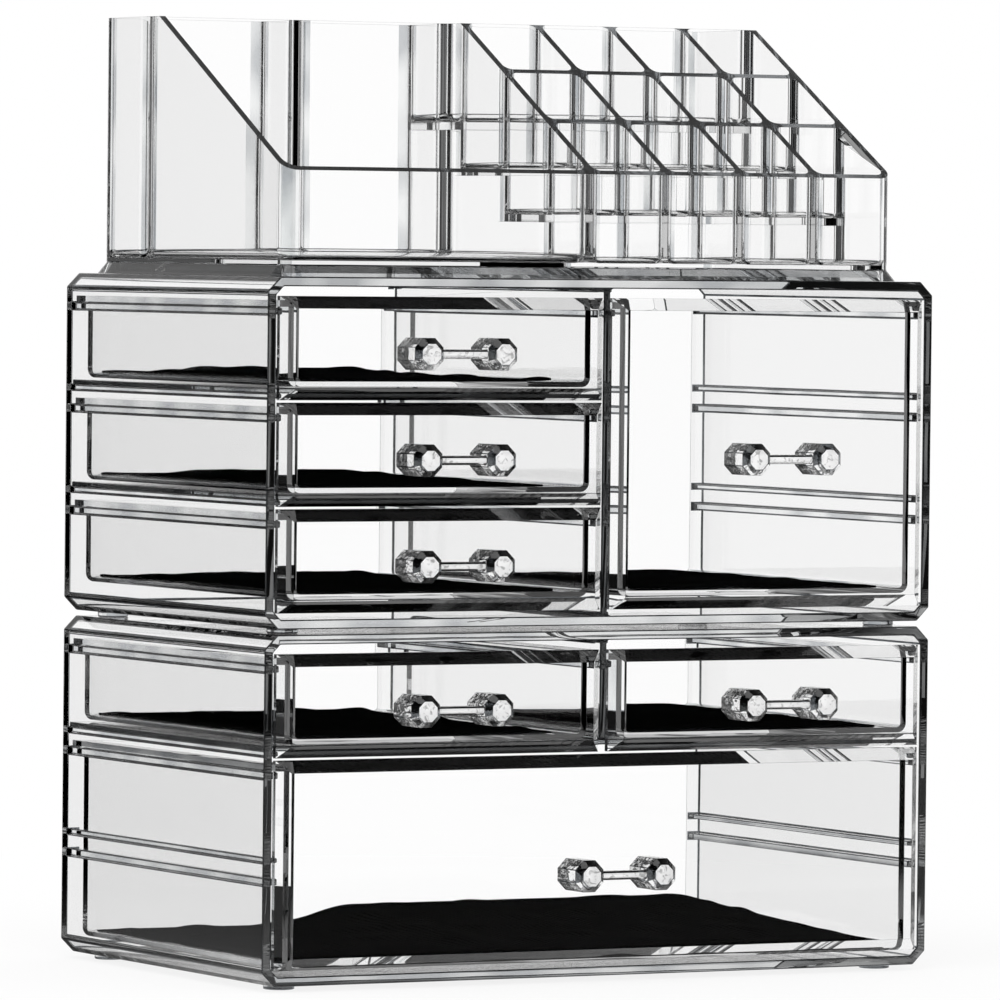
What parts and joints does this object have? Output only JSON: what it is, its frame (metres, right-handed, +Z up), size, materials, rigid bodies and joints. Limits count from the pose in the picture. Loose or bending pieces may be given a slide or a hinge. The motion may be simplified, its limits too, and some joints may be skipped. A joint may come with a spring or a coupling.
{
  "type": "make-up organiser with drawers",
  "caption": "Clear stackable make-up organiser: sliding drawers with faceted handles and black liners in two cases, under a compartment tray with stepped lipstick cells.",
  "frame": {"origin": "on the table, at the middle of the whole footprint, handles included", "axes": "+Z up, the drawers open towards -Y, +X to the right seen from the front"},
  "size_m": [0.24, 0.1626, 0.3047],
  "materials": {
    "clear_cases": "clear, polished injection-moulded styrene",
    "clear_drawers": "clear, polished injection-moulded styrene",
    "clear_tray": "clear, polished injection-moulded styrene",
    "clear_handles": "clear, faceted and polished",
    "clear_feet": "clear soft pads",
    "liner_mesh": "black woven mesh mat"
  },
  "bodies": {
    "root": {"lower_case": "clear_cases", "lower_case_foot_front_left": "clear_feet", "lower_case_foot_front_right": "clear_feet", "lower_case_foot_rear_left": "clear_feet", "lower_case_foot_rear_right": "clear_feet", "lower_shelf": "clear_cases", "lower_divider": "clear_cases", "upper_case": "clear_cases", "upper_case_foot_front_left": "clear_feet", "upper_case_foot_front_right": "clear_feet", "upper_case_foot_rear_left": "clear_feet", "upper_case_foot_rear_right": "clear_feet", "upper_shelf_1": "clear_cases", "upper_shelf_2": "clear_cases", "upper_divider": "clear_cases", "top_tray": "clear_tray"},
    "small_drawer_1": {"small_drawer_1": "clear_drawers", "small_drawer_1_handle": "clear_handles", "small_drawer_1_liner": "liner_mesh"},
    "small_drawer_2": {"small_drawer_2": "clear_drawers", "small_drawer_2_handle": "clear_handles", "small_drawer_2_liner": "liner_mesh"},
    "small_drawer_3": {"small_drawer_3": "clear_drawers", "small_drawer_3_handle": "clear_handles", "small_drawer_3_liner": "liner_mesh"},
    "tall_drawer": {"tall_drawer": "clear_drawers", "tall_drawer_handle": "clear_handles", "tall_drawer_liner": "liner_mesh"},
    "small_drawer_left": {"small_drawer_left": "clear_drawers", "small_drawer_left_handle": "clear_handles", "small_drawer_left_liner": "liner_mesh"},
    "small_drawer_right": {"small_drawer_right": "clear_drawers", "small_drawer_right_handle": "clear_handles", "small_drawer_right_liner": "liner_mesh"},
    "wide_drawer": {"wide_drawer": "clear_drawers", "wide_drawer_handle": "clear_handles", "wide_drawer_liner": "liner_mesh"}
  },
  "joints": [
    {"name": "small_drawer_1_slide", "type": "slide", "parent": "root", "child": "small_drawer_1", "axis": [0, -1, 0], "range_m": [0, 0.1]},
    {"name": "small_drawer_2_slide", "type": "slide", "parent": "root", "child": "small_drawer_2", "axis": [0, -1, 0], "range_m": [0, 0.1]},
    {"name": "small_drawer_3_slide", "type": "slide", "parent": "root", "child": "small_drawer_3", "axis": [0, -1, 0], "range_m": [0, 0.1]},
    {"name": "tall_drawer_slide", "type": "slide", "parent": "root", "child": "tall_drawer", "axis": [0, -1, 0], "range_m": [0, 0.1]},
    {"name": "small_drawer_left_slide", "type": "slide", "parent": "root", "child": "small_drawer_left", "axis": [0, -1, 0], "range_m": [0, 0.1]},
    {"name": "small_drawer_right_slide", "type": "slide", "parent": "root", "child": "small_drawer_right", "axis": [0, -1, 0], "range_m": [0, 0.1]},
    {"name": "wide_drawer_slide", "type": "slide", "parent": "root", "child": "wide_drawer", "axis": [0, -1, 0], "range_m": [0, 0.1]}
  ]
}
